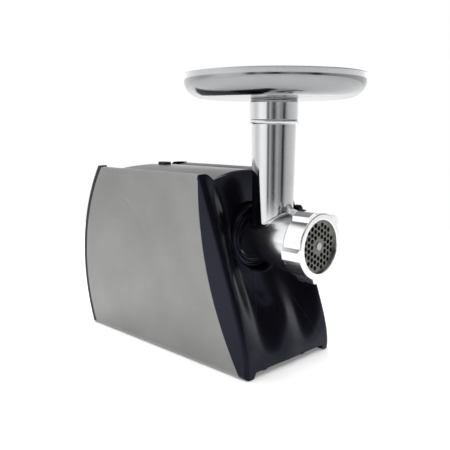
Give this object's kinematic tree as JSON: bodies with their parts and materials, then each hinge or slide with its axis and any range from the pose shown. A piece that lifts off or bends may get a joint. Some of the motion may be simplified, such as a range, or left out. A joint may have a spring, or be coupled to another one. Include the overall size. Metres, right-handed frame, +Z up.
{
  "type": "electric meat grinder",
  "caption": "Electric meat grinder: steel-sided motor body, cast head with feed tube, round tray, auger, knife, perforated plate and lugged closing ring.",
  "frame": {"origin": "middle of the whole grinder's footprint, on the worktop under the feet", "axes": "+X to the right seen from the cutting plate, +Y from the cutting plate to the rear cover, +Z up"},
  "size_m": [0.1952, 0.3734, 0.3171],
  "materials": {
    "gloss_black": "high-gloss moulded black plastic",
    "black_plastic": "semi-gloss black plastic",
    "dark_plastic": "fine-textured dark plastic",
    "red_plastic": "red button plastic",
    "brushed_steel": "fine brushed stainless sheet",
    "rubber": "soft black rubber",
    "zinc_steel": "zinc-plated steel",
    "nylon": "natural nylon",
    "ground_steel": "ground steel",
    "bronze": "sintered bronze and brass",
    "lamination": "stacked steel laminations",
    "copper": "enamelled copper wire and bars",
    "carbon": "pressed carbon",
    "cast_bracket": "die-cast aluminium",
    "board": "green circuit board",
    "polished_aluminium": "mirror-polished aluminium",
    "satin_cast": "satin cast and turned aluminium",
    "blade_steel": "dark hardened steel"
  },
  "bodies": {
    "motor_body": {"front_housing": "gloss_black", "top_cover": "gloss_black", "rear_cover": "black_plastic", "base_plate": "dark_plastic", "left_side_shell": "dark_plastic", "right_side_shell": "dark_plastic", "left_steel_panel": "brushed_steel", "right_steel_panel": "brushed_steel", "front_left_foot": "rubber", "front_right_foot": "rubber", "rear_left_foot": "rubber", "rear_right_foot": "rubber", "base_screws": "zinc_steel", "rear_cover_screws": "zinc_steel", "socket_collar": "gloss_black", "switch_block": "dark_plastic", "overload_breaker": "dark_plastic", "inlet_gland": "black_plastic", "control_board": "board", "gearbox_housing": "dark_plastic", "gearbox_cover": "dark_plastic", "gearbox_screws": "zinc_steel", "low_gear_pin": "ground_steel", "mid_gear_pin": "ground_steel", "output_bush": "bronze", "output_rear_bush": "bronze", "motor_stator": "lamination", "field_coils": "copper", "front_bearing": "ground_steel", "rear_bearing": "ground_steel", "rear_bracket": "cast_bracket", "brush_holders": "bronze", "carbon_brushes": "carbon", "motor_cradle": "dark_plastic"},
    "rotor": {"motor_shaft": "ground_steel", "rotor_core": "lamination", "rotor_winding": "copper", "commutator": "copper", "cooling_fan": "nylon", "motor_pinion": "ground_steel"},
    "low_gear": {"low_gear": "nylon"},
    "mid_gear": {"mid_gear": "nylon"},
    "output_drive": {"output_gear": "nylon", "output_shaft": "ground_steel"},
    "head": {"grinder_head": "polished_aluminium", "plate_key": "ground_steel", "thrust_washer": "nylon"},
    "auger": {"auger": "satin_cast", "auger_shank": "ground_steel", "knife": "blade_steel"},
    "cutting_plate": {"cutting_plate": "blade_steel"},
    "ring_nut": {"ring_nut": "satin_cast"},
    "tray": {"tray": "polished_aluminium"},
    "lock_knob": {"lock_knob": "gloss_black"},
    "lock_bolt": {"lock_bolt": "zinc_steel"},
    "power_button": {"power_button": "black_plastic"},
    "reverse_button": {"reverse_button": "black_plastic"},
    "reset_button": {"reset_button": "red_plastic"}
  },
  "joints": [
    {"name": "motor_spin", "type": "hinge", "parent": "motor_body", "child": "rotor", "pos_m": [0, -0.0891, 0.07874], "axis": [0, 1, 0], "continuous": true},
    {"name": "low_gear_spin", "type": "hinge", "parent": "motor_body", "child": "low_gear", "pos_m": [0.02802, -0.0891, 0.05613], "axis": [0, 1, 0], "continuous": true},
    {"name": "mid_gear_spin", "type": "hinge", "parent": "motor_body", "child": "mid_gear", "pos_m": [-0.02198, -0.0891, 0.07214], "axis": [0, 1, 0], "continuous": true},
    {"name": "output_spin", "type": "hinge", "parent": "motor_body", "child": "output_drive", "pos_m": [0, -0.0891, 0.1386], "axis": [0, 1, 0], "continuous": true},
    {"name": "head_release", "type": "slide", "parent": "motor_body", "child": "head", "axis": [0, -1, 0], "range_m": [0, 0.05]},
    {"name": "auger_spin", "type": "hinge", "parent": "head", "child": "auger", "pos_m": [0, -0.0891, 0.1386], "axis": [0, 1, 0], "continuous": true},
    {"name": "plate_shift", "type": "slide", "parent": "head", "child": "cutting_plate", "axis": [0, -1, 0], "range_m": [0, 0.0121]},
    {"name": "nut_turn", "type": "hinge", "parent": "cutting_plate", "child": "ring_nut", "pos_m": [0, -0.0891, 0.1386], "axis": [0, -1, 0], "range_deg": [0, 1440]},
    {"name": "tray_lift", "type": "slide", "parent": "head", "child": "tray", "axis": [0, 0, 1], "range_m": [0, 0.05]},
    {"name": "lock_turn", "type": "hinge", "parent": "motor_body", "child": "lock_knob", "pos_m": [0.057, -0.0891, 0.158], "axis": [0, -1, 0], "range_deg": [0, 90]},
    {"name": "bolt_shift", "type": "slide", "parent": "motor_body", "child": "lock_bolt", "axis": [0.9467, 0, 0.3222], "range_m": [0, 0.0016]},
    {"name": "power_press", "type": "slide", "parent": "motor_body", "child": "power_button", "axis": [0, 0, -1], "range_m": [0, 0.003], "stiffness_N_per_m": 400},
    {"name": "reverse_press", "type": "slide", "parent": "motor_body", "child": "reverse_button", "axis": [0, 0, -1], "range_m": [0, 0.0014], "stiffness_N_per_m": 400},
    {"name": "reset_press", "type": "slide", "parent": "motor_body", "child": "reset_button", "axis": [0, -1, 0], "range_m": [0, 0.0018], "stiffness_N_per_m": 300}
  ],
  "couplings": [
    {"joint": "low_gear_spin", "follows": "motor_spin", "ratio": -0.2},
    {"joint": "mid_gear_spin", "follows": "motor_spin", "ratio": 0.05},
    {"joint": "output_spin", "follows": "motor_spin", "ratio": -0.0125},
    {"joint": "auger_spin", "follows": "motor_spin", "ratio": -0.0125},
    {"joint": "plate_shift", "follows": "nut_turn", "m_per_rad": 0.00047746},
    {"joint": "bolt_shift", "follows": "lock_turn", "m_per_rad": 0.00095493}
  ]
}
